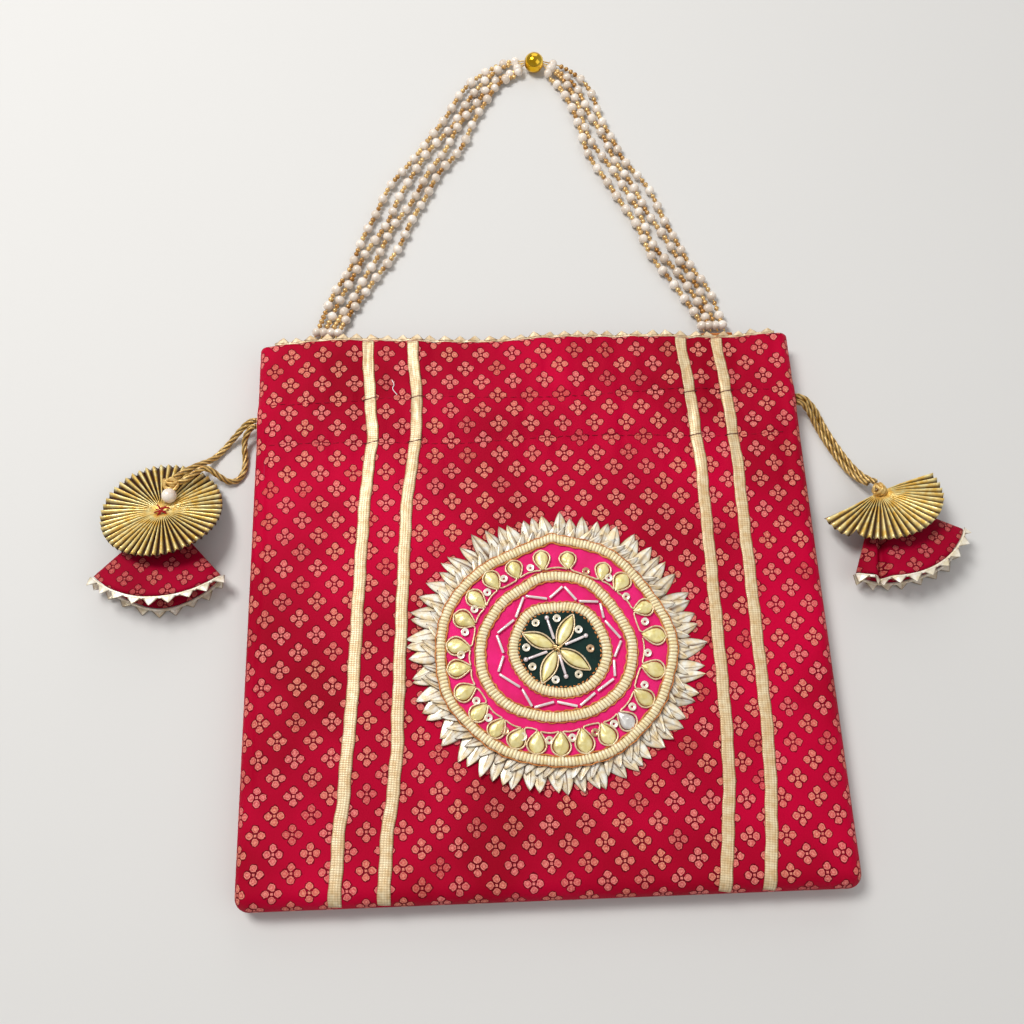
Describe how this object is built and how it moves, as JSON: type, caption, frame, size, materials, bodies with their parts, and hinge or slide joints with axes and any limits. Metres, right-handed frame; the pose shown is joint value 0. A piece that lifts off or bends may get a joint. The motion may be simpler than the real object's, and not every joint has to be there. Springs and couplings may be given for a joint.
{
  "type": "potli bag",
  "caption": "Flat drawstring pouch of crimson brocade with a beaded handle, a round embroidered patch, gold ribbon trim and a cone tassel on each drawstring.",
  "frame": {"origin": "middle of the outside of the back panel, on the surface that the bag lies on", "axes": "+X across the mouth to the bag's right as seen from the front, +Y up the bag towards the handle, +Z out of the front panel"},
  "size_m": [0.3392, 0.3683, 0.0174],
  "materials": {
    "crimson_brocade": "woven silk blend, soft sheen",
    "pink_lining": "plain weave, matt",
    "pale_gota": "metallised ribbon, satin",
    "gold_foil": "pleated metallic ribbon",
    "hot_pink_raw_silk": "raw silk, matt",
    "dark_green_velvet": "short pile, matt",
    "silver_bugle": "silver-lined glass tube beads",
    "twisted_zari": "twisted metallic thread",
    "bound_thread": "bound sewing thread",
    "pearl_white": "pearl lacquer",
    "bright_gold": "metallised gold, shiny"
  },
  "bodies": {
    "bag": {"front_panel": "crimson_brocade", "back_panel": "crimson_brocade", "lining": "pink_lining", "mouth_trim_front": "pale_gota", "mouth_trim_back": "pale_gota", "ribbon_outer_left": "pale_gota", "ribbon_inner_left": "pale_gota", "ribbon_inner_right": "pale_gota", "ribbon_outer_right": "pale_gota", "petal_fringe": "pale_gota", "patch_base": "hot_pink_raw_silk", "braid_ring_outer": "pale_gota", "braid_ring_middle": "pale_gota", "braid_ring_inner": "pale_gota", "drop_garland": "gold_foil", "bugle_star": "silver_bugle", "green_centre": "dark_green_velvet", "centre_flower": "gold_foil", "handle_anchor_left": "bound_thread", "handle_anchor_right": "bound_thread"},
    "handle": {"bead_strand_1": "pearl_white", "bead_strand_2": "pearl_white", "bead_strand_3": "pearl_white", "bead_strand_4": "pearl_white", "gold_bead": "bright_gold"},
    "drawstring_left": {"drawstring_left_loop": "twisted_zari", "drawstring_left_strand_a": "twisted_zari", "drawstring_left_strand_b": "twisted_zari", "knot_left": "twisted_zari", "tassel_pearl_left": "pearl_white", "rosette_left": "gold_foil", "tassel_cone_left": "crimson_brocade", "cone_trim_left": "pale_gota"},
    "drawstring_right": {"drawstring_right_loop": "twisted_zari", "drawstring_right_strand_a": "twisted_zari", "drawstring_right_strand_b": "twisted_zari", "knot_right": "twisted_zari", "fan_right": "gold_foil", "tassel_cone_right": "crimson_brocade", "cone_trim_right": "pale_gota"}
  },
  "joints": [
    {"name": "handle_swing", "type": "hinge", "parent": "bag", "child": "handle", "pos_m": [0, 0.1139, 0.0031], "axis": [1, 0, 0], "range_deg": [0, 90]},
    {"name": "drawstring_left_pull", "type": "slide", "parent": "bag", "child": "drawstring_left", "axis": [-1, 0, 0], "range_m": [0, 0.006]},
    {"name": "drawstring_right_pull", "type": "slide", "parent": "bag", "child": "drawstring_right", "axis": [1, 0, 0], "range_m": [0, 0.006]}
  ]
}
